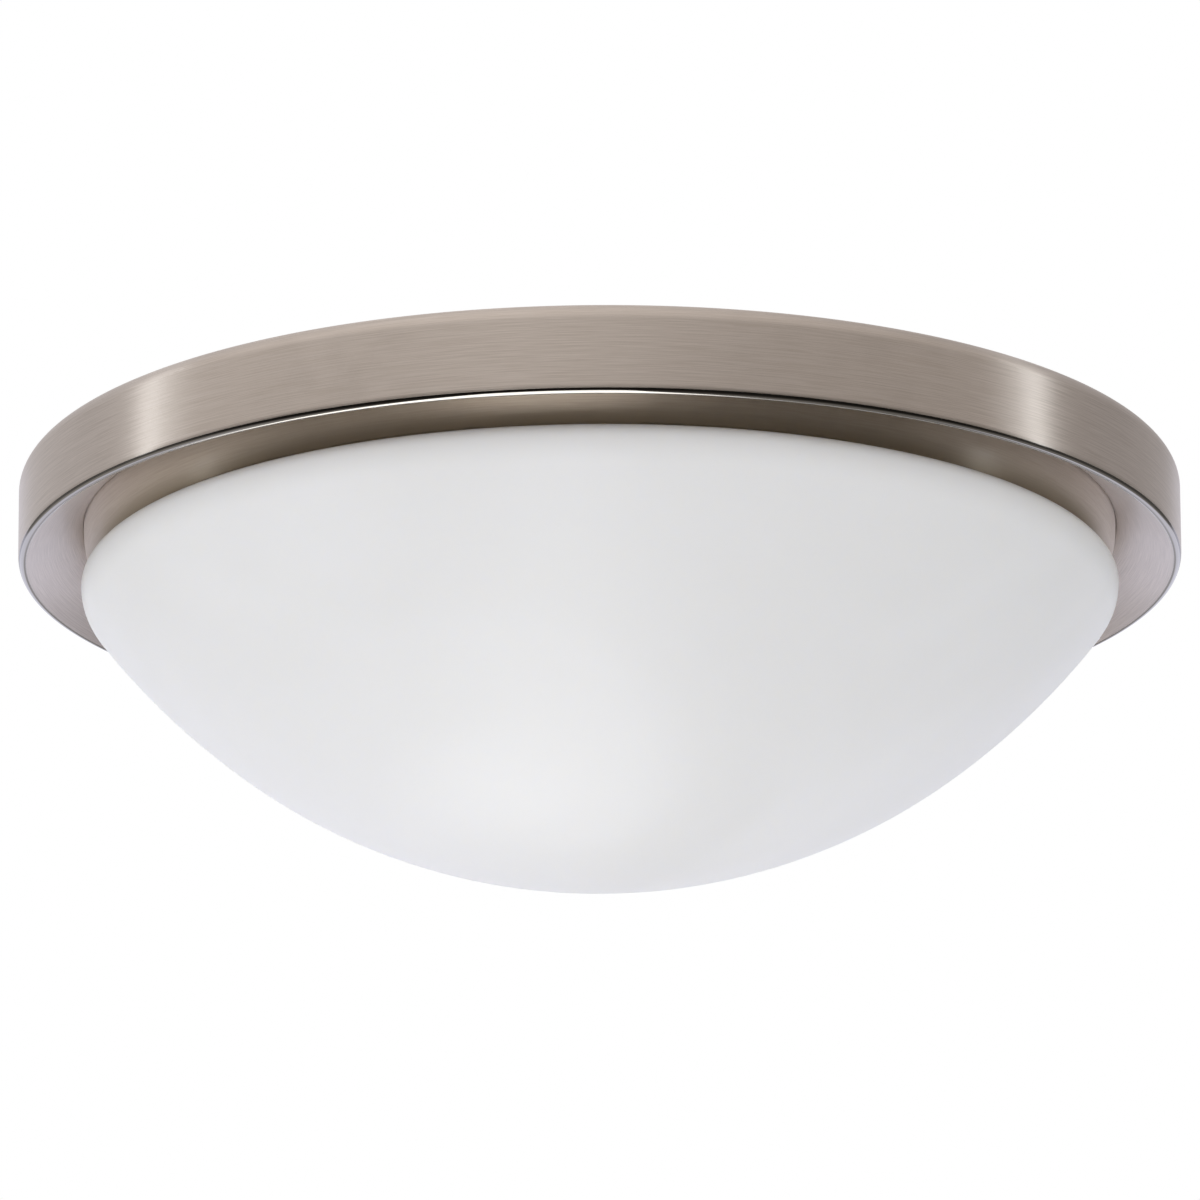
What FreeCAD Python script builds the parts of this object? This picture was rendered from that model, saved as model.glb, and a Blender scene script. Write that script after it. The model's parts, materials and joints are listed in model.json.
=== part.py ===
import FreeCAD, Part
import math
import os
import re

import Sketcher

# Flush mount ceiling light. Millimetres, +Z up, origin in the ceiling plane on the light's axis.
# A brushed ring hides the side of a drawn pan, and an opal glass bowl hangs in the pan's rim on three lugs.

doc = FreeCAD.newDocument("CeilingLight")

sizes = {
    # how far a cutting tool starts outside the sheet it cuts
    "cut_over": 1,
    # trim ring: band, rolled bead, bevel and flange from one sheet
    "band_radius": 165,
    "band_height": 25.6,
    "band_wall": 0.9,
    "top_rounding": 4.9,
    "top_lip": 8.5,
    "bead_radius": 2.1,
    "shelf_width": 18.5,
    "bevel_angle": 34.7,
    "bevel_bend": 1.6,
    "flange_depth": 8,
    # pan
    "pan_wall": 0.8,
    "pan_recess": 6,
    "pan_bend": 1.4,
    "pan_depth": 28,
    "taper_angle": 30,
    "taper_height": 6.3,
    "taper_rounding": 23,
    "rim_rounding": 1,
    "rim_clearance": 1.4,
    "slot_spacing": 79.4,
    "slot_length": 14.5,
    "slot_width": 5,
    "wire_hole": 8,
    # pad in the recess
    "pad_gap": 0.5,
    "pad_bore": 55,
    "pad_clearance": 1.5,
    "pad_relief": 0.5,
    # bushing and earth screw
    "bushing_bore": 5.5,
    "bushing_flange": 2.5,
    "bushing_thickness": 1.5,
    "bushing_snap": 0.8,
    "screw_radius": 1.9,
    "screw_head": 4.2,
    "screw_head_height": 2.4,
    "screw_slot": 1,
    "ground_place": 24,
    "ground_length": 4.5,
    # rivets
    "rivet_radius": 1.6,
    "rivet_head": 2.6,
    "rivet_head_height": 1,
    "rivet_tail": 1,
    # glass bowl
    "glass_overhang": 0.6,
    "glass_hang": 4,
    "glass_wall": 3.5,
    "crown_share": 1.1767,
    "crown_angle": 37.5,
    "side_share": 1.4439,
    "shoulder_radius": 13.2,
    "seat_radius": 3.7,
    "neck_inset": 7.7,
    "neck_rise": 5.8,
    "neck_fillet": 1.2,
    "neck_edge": 1,
    "neck_root": 3,
    # bayonet
    "lug_reach": 3.2,
    "lug_span": 20,
    "lug_height": 3.4,
    "lug_azimuth": 73,
    "lug_turn": 32,
    "lug_clearance": 0.3,
    "gate_span": 25,
    "gate_clearance": 0.4,
    "stop_gap": 0.4,
    "stop_span": 1.6,
    "stop_height": 2,
    # leaf springs over the lugs
    "spring_wall": 0.4,
    "spring_width": 10,
    "spring_top": 7.6,
    "spring_rise": 12.2,
    "spring_overlap": 1.6,
    "spring_curl": 2,
    "spring_bend": 1.2,
    # lamp holders and their brackets
    "holder_face": 77,
    "lamp_offset": 36,
    "lamp_depth": 45,
    "bracket_wall": 1.2,
    "bracket_width": 24,
    "bracket_drop": 14,
    "bracket_foot": 20,
    "bracket_bend": 2.4,
    "bracket_corner": 6,
    "foot_rivet_pitch": 14,
    "holder_radius": 19,
    "holder_mouth": 17,
    "holder_length": 36,
    "holder_step": 16,
    "holder_base": 8,
    "holder_bore": 14.6,
    "holder_edge": 1,
    "holder_screw_pitch": 22,
    "holder_screw_depth": 4,
    "holder_screw_play": 0.5,
    "holder_screw_radius": 1.5,
    "holder_screw_head": 2.8,
    # screw shell and contact
    "thread_pitch": 3.6,
    "thread_turns": 4,
    "thread_rise": 0.8,
    "shell_crest": 12.95,
    "shell_wall": 0.5,
    "shell_hole": 7,
    "shell_rim": 2,
    "contact_wall": 0.5,
    "contact_width": 6,
    "contact_rise": 1.7,
    "contact_foot": 5.5,
    "contact_tip": 3.5,
    # lamp
    "contact_gap": 0.3,
    "cap_root": 12.45,
    "cap_start": 6.5,
    "cap_length": 27,
    "cap_skirt": 13,
    "cap_bore": 11.5,
    "cap_floor": 5,
    "cap_opening": 8,
    "cap_wall": 0.5,
    "cap_ledge": 1.5,
    "eyelet_radius": 4.6,
    "eyelet_face": 3.2,
    "eyelet_height": 2,
    "neck_seat": 22,
    "bulb_neck": 12.6,
    "bulb_wall": 0.8,
    "bulb_radius": 30,
    "bulb_centre": 78,
    "bulb_cone": 35,
    "bulb_blend": 20,
}

# sizes that follow the band's radius and the pan's depth, so that pan, glass, lugs and springs keep together
followers = {
    "pan_radius": "band_radius - shelf_width",
    "glass_radius": "pan_radius + glass_overhang",
    "crown_radius": "glass_radius * crown_share",
    "side_radius": "glass_radius * side_share",
    "neck_radius": "pan_radius - neck_inset",
    "rim_radius": "neck_radius + rim_clearance",
    "lug_radius": "neck_radius + lug_reach",
    "spring_tip": "lug_radius - spring_overlap",
    "taper_depth": "pan_depth - taper_height",
    "glass_drop": "pan_depth + glass_hang",
    "neck_top": "pan_depth - neck_rise",
    "spring_knee": "pan_depth - spring_rise",
}

sheet = doc.addObject("Spreadsheet::Sheet", "Sizes")
cells = {**sizes, **{name: "=" + formula for name, formula in followers.items()}}
for row, (name, content) in enumerate(cells.items(), start=1):
    sheet.set(f"A{row}", name)
    sheet.set(f"B{row}", str(content))
    sheet.setAlias(f"B{row}", name)
    doc.recompute()


def tied(formula):
    """The formula with each size's name pointing at the sheet."""
    return re.sub(r"[a-z]+(?:_[a-z]+)+", lambda found: "Sizes." + found.group(), formula)


def value(formula):
    """The formula's number now."""
    result = sheet.evalExpression(tied(formula))
    return float(getattr(result, "Value", result))


def bind(item, path, formula):
    item.setExpression(path, tied(formula))


def minus(formula):
    return f"-({formula})"


bodies = {}
tight = 0.01  # how near two lengths or volumes count as the same


def make_body(name, turn="0"):
    """A new sub-part, turned about the light's axis."""
    body = doc.addObject("PartDesign::Body", name)
    body.Label = name
    body.AllowCompound = True
    body.Placement.Rotation = FreeCAD.Rotation(FreeCAD.Vector(0, 0, 1), 0)
    bind(body, "Placement.Rotation.Angle", turn)
    bodies[name] = body
    return body


def make_sketch(body, plane, offset="0", turn="0"):
    """A sketch on one of the body's own origin planes, moved along the plane's normal.
    One on an upright plane can also be turned about the light's axis."""
    sketch = body.newObject("Sketcher::SketchObject", "Outline")
    base = next(item for item in body.Origin.OriginFeatures if item.Role == plane)
    sketch.AttachmentSupport = (base, [""])
    sketch.MapMode = "FlatFace"
    bind(sketch, "AttachmentOffset.Base.z", f"({offset}) * cos({turn})")
    if turn != "0":
        upright = FreeCAD.Rotation(FreeCAD.Vector(0, 1, 0), value(turn))
        sketch.AttachmentOffset = FreeCAD.Placement(FreeCAD.Vector(), upright)
        bind(sketch, "AttachmentOffset.Rotation.Angle", turn)
        bind(sketch, "AttachmentOffset.Base.x", f"({offset}) * sin({turn})")
    return sketch


def hold(sketch, geometry, position, x, y):
    """Hold a point of the sketch at x, y."""
    for kind, formula, axis in (("DistanceX", x, -2), ("DistanceY", y, -1)):
        if formula == "0":
            sketch.addConstraint(Sketcher.Constraint("PointOnObject", geometry, position, axis))
            continue
        held = Sketcher.Constraint(kind, -1, 1, geometry, position, value(formula))
        bind(sketch, f"Constraints[{sketch.addConstraint(held)}]", formula)


def arc_between(start, end, radius):
    """An arc from start to end; a negative radius runs clockwise. Returns the arc and its end numbers."""
    turn_left = radius > 0
    if not turn_left:
        start, end = end, start
    half = (end - start) * 0.5
    reach = math.sqrt(max(radius * radius - half.Length ** 2, 0))
    across = FreeCAD.Vector(-half.y, half.x, 0).normalize()
    centre = start + half + across * reach
    angles = [math.atan2(p.y - centre.y, p.x - centre.x) for p in (start, end)]
    circle = Part.Circle(centre, FreeCAD.Vector(0, 0, 1), abs(radius))
    return Part.ArcOfCircle(circle, *angles), (1, 2) if turn_left else (2, 1)


def draw(sketch, corners):
    """A closed outline. A corner is (x, y), with "round", radius for a rounded corner,
    or with "arc", radius where the edge that leaves it is an arc, negative for clockwise.
    "cap" in place of "arc" is a half turn that runs on from the edge before it."""
    count = len(corners)
    places = [FreeCAD.Vector(value(c[0]), value(c[1]), 0) for c in corners]
    rounds = [c[3] if "round" in c else None for c in corners]
    arcs = [c[3] if "arc" in c or "cap" in c else None for c in corners]
    trims = []
    for i, place in enumerate(places):
        before = (place - places[i - 1]).normalize()
        after = (places[(i + 1) % count] - place).normalize()
        trims.append(value(rounds[i]) * math.tan(before.getAngle(after) / 2) if rounds[i] else 0)
    edges = []
    for i, place in enumerate(places):
        following = (i + 1) % count
        along = (places[following] - place).normalize()
        start = place + along * trims[i]
        end = places[following] - along * trims[following]
        if arcs[i]:
            arc, ends = arc_between(start, end, value(arcs[i]))
            edge = sketch.addGeometry(arc, False)
            if "arc" in corners[i]:
                held = Sketcher.Constraint("Radius", edge, abs(value(arcs[i])))
                bind(sketch, f"Constraints[{sketch.addConstraint(held)}]", f"abs({arcs[i]})")
        else:
            edge = sketch.addGeometry(Part.LineSegment(start, end), False)
            ends = (1, 2)
        edges.append((edge, *ends))
    for i, place in enumerate(places):
        before, before_end = edges[i - 1][0], edges[i - 1][2]
        after, after_start = edges[i][0], edges[i][1]
        if not rounds[i]:
            joined = "Tangent" if "cap" in corners[i] else "Coincident"
            sketch.addConstraint(Sketcher.Constraint(joined, before, before_end, after, after_start))
            hold(sketch, after, after_start, corners[i][0], corners[i][1])
            continue
        tip = sketch.addGeometry(Part.Point(place), True)
        hold(sketch, tip, 1, corners[i][0], corners[i][1])
        sketch.addConstraint(Sketcher.Constraint("PointOnObject", tip, 1, before))
        sketch.addConstraint(Sketcher.Constraint("PointOnObject", tip, 1, after))
        arrive = (place - places[i - 1]).normalize()
        leave = (places[(i + 1) % count] - place).normalize()
        turn_left = arrive.x * leave.y - arrive.y * leave.x > 0
        radius = value(rounds[i])
        arc, ends = arc_between(place - arrive * trims[i], place + leave * trims[i],
                                radius if turn_left else -radius)
        blend = sketch.addGeometry(arc, False)
        sketch.addConstraint(Sketcher.Constraint("Tangent", before, before_end, blend, ends[0]))
        sketch.addConstraint(Sketcher.Constraint("Tangent", blend, ends[1], after, after_start))
        held = Sketcher.Constraint("Radius", blend, radius)
        bind(sketch, f"Constraints[{sketch.addConstraint(held)}]", rounds[i])
    if sketch.solve() != 0:
        raise RuntimeError(f"{sketch.Label}: the outline doesn't close on its sizes")


def draw_circles(sketch, centres, radius):
    for x, y in centres:
        middle = FreeCAD.Vector(value(x), value(y), 0)
        circle = sketch.addGeometry(Part.Circle(middle, FreeCAD.Vector(0, 0, 1), value(radius)), False)
        hold(sketch, circle, 3, x, y)
        held = Sketcher.Constraint("Radius", circle, value(radius))
        bind(sketch, f"Constraints[{sketch.addConstraint(held)}]", radius)


def settle(body, feature):
    """Make the feature the body's result."""
    body.Tip = feature
    doc.recompute()
    return feature


def revolve(body, corners, span=None):
    """Turn an outline on the body's XZ plane about Z, fully or over a span centred on the plane."""
    sketch = make_sketch(body, "XZ_Plane")
    draw(sketch, corners)
    feature = body.newObject("PartDesign::Revolution", "Turned")
    feature.Profile = sketch
    feature.ReferenceAxis = (sketch, ["V_Axis"])
    feature.Angle = 360
    if span:
        feature.Midplane = True
        bind(feature, "Angle", span)
    return settle(body, feature)


def pad(body, sketch, length, both_sides=False, backwards=False):
    feature = body.newObject("PartDesign::Pad", "Raised")
    feature.Profile = sketch
    feature.Midplane = both_sides
    feature.Reversed = backwards
    bind(feature, "Length", length)
    return settle(body, feature)


def cut(body, sketch, length, forwards=True):
    """Cut the sketch into the body along its normal, or against it, and see that something came away."""
    before = body.Shape.Volume
    feature = body.newObject("PartDesign::Pocket", "Opening")
    feature.Profile = sketch
    feature.Reversed = forwards
    bind(feature, "Length", length)
    settle(body, feature)
    if body.Shape.Volume >= before - tight:
        raise RuntimeError(f"{body.Label}: a cut removed nothing")
    return feature


def repeat(body, features, count=3):
    """Copy features evenly about the light's axis."""
    pattern = body.newObject("PartDesign::PolarPattern", "Around")
    pattern.Originals = features
    pattern.Axis = (next(item for item in body.Origin.OriginFeatures if item.Role == "Z_Axis"), [""])
    pattern.Angle = 360
    pattern.Occurrences = count
    return settle(body, pattern)


def soften(body, radius, chosen, kind="PartDesign::Fillet"):
    """Round, or chamfer, the edges of the body that the test chooses."""
    names = [f"Edge{n}" for n, edge in enumerate(body.Shape.Edges, start=1) if chosen(edge)]
    if not names:
        raise RuntimeError(f"{body.Label}: no edge to soften")
    base = body.Tip
    feature = body.newObject(kind, "Softened")
    feature.Base = (base, names)
    bind(feature, "Radius" if kind.endswith("Fillet") else "Size", radius)
    return settle(body, feature)


# ---- places that several pieces share ----

plate_under = minus("pan_recess + pan_wall")
rim_top = minus("pan_depth - pan_wall")
bead_corner = ("-(band_height - bead_radius) - bead_radius * cos(bevel_angle)"
               " - bead_radius * (1 + sin(bevel_angle)) * tan(bevel_angle)")


def bevel_height(inset, raised="0"):
    """Height of the bevel's sheet at an inset from the band, raised from its lower face."""
    return f"{bead_corner} + ({raised}) / cos(bevel_angle) + ({inset}) * tan(bevel_angle)"


bevel_end = bevel_height("band_radius - pan_radius")
side_rivet_height = f"({bevel_end} - flange_depth) / 2"
spring_face = "sqrt((pan_radius - pan_wall) * (pan_radius - pan_wall) - spring_width * spring_width / 4)"


def trim_ring():
    body = make_body("trim_ring", "lug_azimuth")
    lip = "band_radius - top_lip"
    inner_bend = "bevel_bend - band_wall"
    revolve(body, [
        (lip, "0"),
        ("band_radius", "0", "round", "top_rounding"),
        ("band_radius", bead_corner, "round", "bead_radius"),
        ("pan_radius", bevel_end, "round", "bevel_bend"),
        ("pan_radius", "-flange_depth"),
        ("pan_radius + band_wall", "-flange_depth"),
        ("pan_radius + band_wall",
         bevel_height("band_radius - pan_radius - band_wall", "band_wall"), "round", inner_bend),
        ("band_radius - band_wall", bevel_height("band_wall", "band_wall"),
         "round", "bead_radius - band_wall"),
        ("band_radius - band_wall", "-band_wall", "round", "top_rounding - band_wall"),
        (lip, "-band_wall"),
    ])
    sketch = make_sketch(body, "YZ_Plane", "pan_radius - cut_over")
    draw_circles(sketch, [("0", side_rivet_height)], "rivet_radius")
    repeat(body, [cut(body, sketch, "band_wall + 2 * cut_over")])


def polar(radius, angle):
    return f"({radius}) * cos({angle})", f"({radius}) * sin({angle})"


def sector(inner, outer, middle, span):
    """The outline of a piece of ring."""
    low = f"({middle}) - ({span}) / 2"
    high = f"({middle}) + ({span}) / 2"
    return [polar(inner, low), (*polar(outer, low), "arc", outer),
            polar(outer, high), (*polar(inner, high), "arc", minus(inner))]


def slot_outline(middle):
    """A round-ended slot along X."""
    half = "slot_width / 2"
    run = "(slot_length - slot_width) / 2"
    return [(f"{middle} - {run}", f"-{half}"), (f"{middle} + {run}", f"-{half}", "cap", half),
            (f"{middle} + {run}", half), (f"{middle} - {run}", half, "cap", half)]


foot_rivets = [("holder_face + bracket_wall + bracket_foot / 2 + bracket_bend / 2",
                f"lamp_offset {sign} foot_rivet_pitch / 2") for sign in "+-"]
all_foot_rivets = foot_rivets + [(minus(x), minus(y)) for x, y in foot_rivets]


def pan():
    body = make_body("pan")
    taper = "tan(taper_angle)"
    rim_corner = f"pan_radius - (pan_depth - taper_depth) * {taper}"
    inner_rim_corner = f"pan_radius - (pan_depth - pan_wall - taper_depth) * {taper} - pan_wall / cos(taper_angle)"
    inner_taper_depth = f"taper_depth - pan_wall * (1 / cos(taper_angle) - 1) / {taper}"
    revolve(body, [
        ("wire_hole", "-pan_recess"),
        ("pan_radius", "-pan_recess", "round", "pan_bend"),
        ("pan_radius", "-taper_depth", "round", "taper_rounding"),
        (rim_corner, "-pan_depth", "round", "rim_rounding"),
        ("rim_radius", "-pan_depth"),
        ("rim_radius", rim_top),
        (inner_rim_corner, rim_top, "round", "rim_rounding - pan_wall"),
        ("pan_radius - pan_wall", minus(inner_taper_depth), "round", "taper_rounding - pan_wall"),
        ("pan_radius - pan_wall", plate_under, "round", "pan_bend - pan_wall"),
        ("wire_hole", plate_under),
    ])
    # stops that end the glass's turn, lanced up from the rim
    lug_end = "lug_azimuth + lug_span / 2"
    stop_middle = f"{lug_end} + asin(stop_gap / lug_radius) / 1deg + stop_span / 2"
    sketch = make_sketch(body, "XY_Plane", rim_top)
    draw(sketch, sector("rim_radius", "lug_radius - gate_clearance", stop_middle, "stop_span"))
    repeat(body, [pad(body, sketch, "stop_height")])
    # gates in the rim that let the lugs in
    sketch = make_sketch(body, "XY_Plane", "-pan_depth - pan_wall")
    gate = sector("rim_radius - cut_over", "lug_radius + gate_clearance", "lug_azimuth - lug_turn", "gate_span")
    draw(sketch, gate)
    repeat(body, [cut(body, sketch, "3 * pan_wall")])
    # slots for the screws of a ceiling box
    for side in ("-", ""):
        sketch = make_sketch(body, "XY_Plane", f"{plate_under} - cut_over")
        draw(sketch, slot_outline(f"{side}slot_spacing / 2"))
        cut(body, sketch, "pan_wall + 2 * cut_over")
    # holes in the plate: bracket rivets on both sides, earth screw
    sketch = make_sketch(body, "XY_Plane", f"{plate_under} - cut_over")
    draw_circles(sketch, all_foot_rivets, "rivet_radius")
    cut(body, sketch, "pan_wall + 2 * cut_over")
    sketch = make_sketch(body, "XY_Plane", f"{plate_under} - cut_over")
    draw_circles(sketch, [("0", "ground_place")], "screw_radius")
    cut(body, sketch, "pan_wall + 2 * cut_over")
    # rivet holes in the wall, over the lugs
    sketch = make_sketch(body, "YZ_Plane", "pan_radius - pan_wall - cut_over", "lug_azimuth")
    draw_circles(sketch, [("0", side_rivet_height)], "rivet_radius")
    repeat(body, [cut(body, sketch, "pan_wall + 2 * cut_over")])


def insulation_pad():
    body = make_body("insulation_pad")
    outside = "pan_radius - pad_clearance"
    revolve(body, [("pad_bore", "-pan_recess"), (outside, "-pan_recess"),
                   (outside, "-pad_gap", "round", "pad_clearance"), ("pad_bore", "-pad_gap")])
    # pressed in over the tails of the bracket rivets
    sketch = make_sketch(body, "XY_Plane", "-pan_recess - cut_over")
    draw_circles(sketch, all_foot_rivets, "rivet_head + pad_relief")
    cut(body, sketch, "cut_over + rivet_tail + pad_relief")


def wire_bushing():
    body = make_body("wire_bushing")
    flange = "wire_hole + bushing_flange"
    snap = "wire_hole + bushing_snap"
    foot = f"{plate_under} - bushing_thickness"
    revolve(body, [
        ("bushing_bore", foot), (flange, foot, "round", "bushing_thickness / 2"), (flange, plate_under),
        ("wire_hole", plate_under), ("wire_hole", "-pan_recess"), (snap, "-pan_recess"),
        (snap, "-pan_recess + bushing_snap"), ("wire_hole - bushing_snap", "-pan_recess + 3 * bushing_snap"),
        ("bushing_bore", "-pan_recess + 3 * bushing_snap"),
    ])


def ground_screw():
    body = make_body("ground_screw")
    sketch = make_sketch(body, "XY_Plane", plate_under)
    draw_circles(sketch, [("0", "ground_place")], "screw_head")
    pad(body, sketch, "screw_head_height", backwards=True)
    under = value(f"{plate_under} - screw_head_height")
    soften(body, "screw_head_height / 3",
           lambda edge: abs(edge.BoundBox.ZMax - under) < tight and abs(edge.BoundBox.ZMin - under) < tight)
    sketch = make_sketch(body, "XY_Plane", plate_under)
    draw_circles(sketch, [("0", "ground_place")], "screw_radius")
    pad(body, sketch, "ground_length")
    sketch = make_sketch(body, "XY_Plane", f"{plate_under} - screw_head_height")
    left, right = "-screw_head - cut_over", "screw_head + cut_over"
    low, high = "ground_place - screw_slot / 2", "ground_place + screw_slot / 2"
    draw(sketch, [(left, low), (right, low), (right, high), (left, high)])
    cut(body, sketch, "screw_head_height / 2")


def side_rivets():
    """Each rivet joins a leaf spring, the pan's side and the ring's flange, with its head inside."""
    body = make_body("side_rivets", "lug_azimuth")
    inner = f"({spring_face} - spring_wall)"
    outer = "(pan_radius + band_wall)"
    first = []
    for offset, length, radius in ((f"{inner} - rivet_head_height", "rivet_head_height", "rivet_head"),
                                   (inner, f"{outer} - {inner}", "rivet_radius"),
                                   (outer, "rivet_tail", "rivet_head - rivet_tail / 2")):
        sketch = make_sketch(body, "YZ_Plane", offset)
        draw_circles(sketch, [("0", side_rivet_height)], radius)
        first.append(pad(body, sketch, length))
    repeat(body, first)


def glass_dome():
    body = make_body("glass_dome", "lug_azimuth")
    seat = "-glass_drop + seat_radius"
    shoulder = "glass_radius - shoulder_radius"
    side_angle = (f"asin(({shoulder} + (side_radius - crown_radius) * sin(crown_angle))"
                  " / (side_radius - shoulder_radius))")
    side_x = "-(side_radius - crown_radius) * sin(crown_angle)"
    side_z = f"-glass_drop + (side_radius - shoulder_radius) * cos({side_angle})"
    crown_z = f"{side_z} - (side_radius - crown_radius) * cos(crown_angle)"

    def skin(inset):
        """Corners of the bowl's face from the axis to the widest place, inset from the outer face."""
        crown, side, edge = (f"({r} - {inset})" for r in ("crown_radius", "side_radius", "shoulder_radius"))
        return [("0", f"{crown_z} - {crown}"),
                (f"{crown} * sin(crown_angle)", f"{crown_z} - {crown} * cos(crown_angle)"),
                (f"{shoulder} + {edge} * sin({side_angle})", f"-glass_drop - {edge} * cos({side_angle})"),
                (f"glass_radius - {inset}", "-glass_drop")], [crown, side, edge]

    outer, outer_radii = skin("0")
    inner, inner_radii = skin("glass_wall")
    neck_inside = "neck_radius - glass_wall"
    outside = [(*corner, "arc", radius) for corner, radius in zip(outer, outer_radii + ["seat_radius"])]
    inside = [inner[3], inner[2], inner[1]]
    inside = [(*corner, "arc", minus(radius)) for corner, radius in zip(inside, reversed(inner_radii))]
    revolve(body, outside + [
        ("glass_radius - seat_radius", seat),
        ("neck_radius", seat, "round", "neck_fillet"),
        ("neck_radius", "-neck_top", "round", "neck_edge"),
        (neck_inside, "-neck_top", "round", "neck_edge"),
        (neck_inside, "-glass_drop", "round", "neck_root"),
    ] + inside + [inner[0]])
    # lugs that hang on the pan's rim
    foot = f"{rim_top} + lug_clearance"
    root = "neck_radius - glass_wall / 2"
    lug = revolve(body, [(root, foot), ("lug_radius", foot, "round", "neck_edge / 2"),
                         ("lug_radius", f"{foot} + lug_height", "round", "neck_edge"),
                         (root, f"{foot} + lug_height")], span="lug_span")
    repeat(body, [lug])


def strip(body, plane, corners, width, offset="0"):
    """A bent strip: the outline on the plane, extended both ways."""
    sketch = make_sketch(body, plane, offset)
    draw(sketch, corners)
    return pad(body, sketch, width, both_sides=True)


def glass_spring(number):
    body = make_body(f"glass_spring_{number}", f"lug_azimuth + {120 * (number - 1)}")
    tip_height = f"{rim_top} + lug_clearance + lug_height + lug_clearance"
    slope = (f"atan(({spring_face} - spring_tip) / (-spring_knee - ({tip_height})) * -1)")
    back = f"spring_wall * tan({slope} / 2)"
    # the leaf falls by the slope and its curl rises at 45 degrees
    inside_tip = f"{tip_height} + spring_wall * cos((45deg - {slope}) / 2) / cos((45deg + {slope}) / 2)"
    # down the pan's wall, inward over the lug, and up again in a short curl
    strip(body, "XZ_Plane", [
        (spring_face, "-spring_top"),
        (spring_face, "-spring_knee"),
        ("spring_tip", tip_height, "round", "spring_bend"),
        ("spring_tip - spring_curl", f"{tip_height} + spring_curl"),
        ("spring_tip - spring_curl", f"{tip_height} + spring_curl + spring_wall / cos(45deg)"),
        ("spring_tip", inside_tip, "round", "spring_bend - spring_wall"),
        (f"{spring_face} - spring_wall", f"-spring_knee + {back}"),
        (f"{spring_face} - spring_wall", "-spring_top"),
    ], "spring_width")
    sketch = make_sketch(body, "YZ_Plane", f"{spring_face} - spring_wall - cut_over")
    draw_circles(sketch, [("0", side_rivet_height)], "rivet_radius")
    cut(body, sketch, "spring_wall + 2 * cut_over")


def place_on_lamp_axis(body, side, distance):
    """Stand a piece on a lamp's axis, its own +Z pointing from the holder to the lamp."""
    half_turn = 0 if side == "right" else 180
    face_inward = FreeCAD.Rotation(FreeCAD.Vector(0, 1, 0), -90)
    about = FreeCAD.Rotation(FreeCAD.Vector(0, 0, 1), half_turn)
    body.setExpression("Placement.Rotation.Angle", None)
    body.Placement.Rotation = about.multiply(face_inward)
    sign = "" if side == "right" else "-"
    bind(body, "Placement.Base.x", f"{sign}(holder_face - ({distance}))")
    bind(body, "Placement.Base.y", f"{sign}(lamp_offset)")
    bind(body, "Placement.Base.z", "-lamp_depth")


holder_screws = [("lamp_offset", f"-lamp_depth {sign} holder_screw_pitch / 2") for sign in "+-"]


def socket_bracket(side):
    body = make_body(f"socket_bracket_{side}", "0" if side == "right" else "180")
    outer = "holder_face + bracket_wall"
    toe = f"{outer} + bracket_foot"
    low = "-lamp_depth - bracket_drop"
    strip(body, "XZ_Plane", [
        ("holder_face", low), (outer, low),
        (outer, f"{plate_under} - bracket_wall", "round", "bracket_bend - bracket_wall"),
        (toe, f"{plate_under} - bracket_wall"), (toe, plate_under),
        ("holder_face", plate_under, "round", "bracket_bend"),
    ], "bracket_width", minus("lamp_offset"))
    floor = value(low)
    soften(body, "bracket_corner",
           lambda edge: abs(edge.BoundBox.ZMax - floor) < tight
           and edge.BoundBox.XLength > value("bracket_wall / 2") and edge.BoundBox.YLength < tight)
    sketch = make_sketch(body, "XY_Plane", f"{plate_under} - bracket_wall - cut_over")
    draw_circles(sketch, foot_rivets, "rivet_radius")
    cut(body, sketch, "bracket_wall + 2 * cut_over")
    sketch = make_sketch(body, "YZ_Plane", "holder_face - cut_over")
    draw_circles(sketch, holder_screws, "holder_screw_radius")
    cut(body, sketch, "bracket_wall + 2 * cut_over")


def socket_body(side):
    body = make_body(f"socket_body_{side}")
    revolve(body, [
        ("0", "0"), ("holder_radius", "0", "round", "holder_edge"),
        ("holder_radius", "holder_step", "round", "holder_edge"),
        ("holder_mouth", "holder_step + (holder_radius - holder_mouth)"),
        ("holder_mouth", "holder_length", "round", "holder_edge"),
        ("holder_bore", "holder_length"), ("holder_bore", "holder_base"), ("0", "holder_base"),
    ])
    sketch = make_sketch(body, "XY_Plane", "-cut_over")
    draw_circles(sketch, [(f"{sign}holder_screw_pitch / 2", "0") for sign in ("", "-")],
                 "holder_screw_radius")
    cut(body, sketch, "holder_screw_depth + cut_over")
    place_on_lamp_axis(body, side, "0")


def thread_corners(root, start, upward=True):
    """Rolled thread drawn as rings: corners from the start, out to each crest and back."""
    count = int(value("thread_turns"))
    rungs = [(root if k % 2 == 0 else f"{root} + thread_rise", f"{start} + {k} * thread_pitch / 2")
             for k in range(2 * count + 1)]
    return rungs if upward else rungs[::-1]


lamp_start = "holder_base + contact_wall + contact_rise + contact_gap"


def socket_shell(side):
    body = make_body(f"socket_shell_{side}")
    start = f"{lamp_start} + cap_start"
    end = f"{start} + thread_turns * thread_pitch"
    floor = "holder_base + shell_wall"
    mouth = f"{end} + shell_rim"
    inner = thread_corners("shell_crest", start, upward=False)
    outer = thread_corners("shell_crest + shell_wall", start)
    widest = "shell_crest + thread_rise + shell_wall"
    revolve(body, [
        ("shell_hole", "holder_base"), ("shell_crest + shell_wall", "holder_base"), *outer,
        (widest, mouth), (f"{widest} - shell_wall", mouth), *inner,
        ("shell_crest", floor), ("shell_hole", floor),
    ])
    place_on_lamp_axis(body, side, "0")


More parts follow.
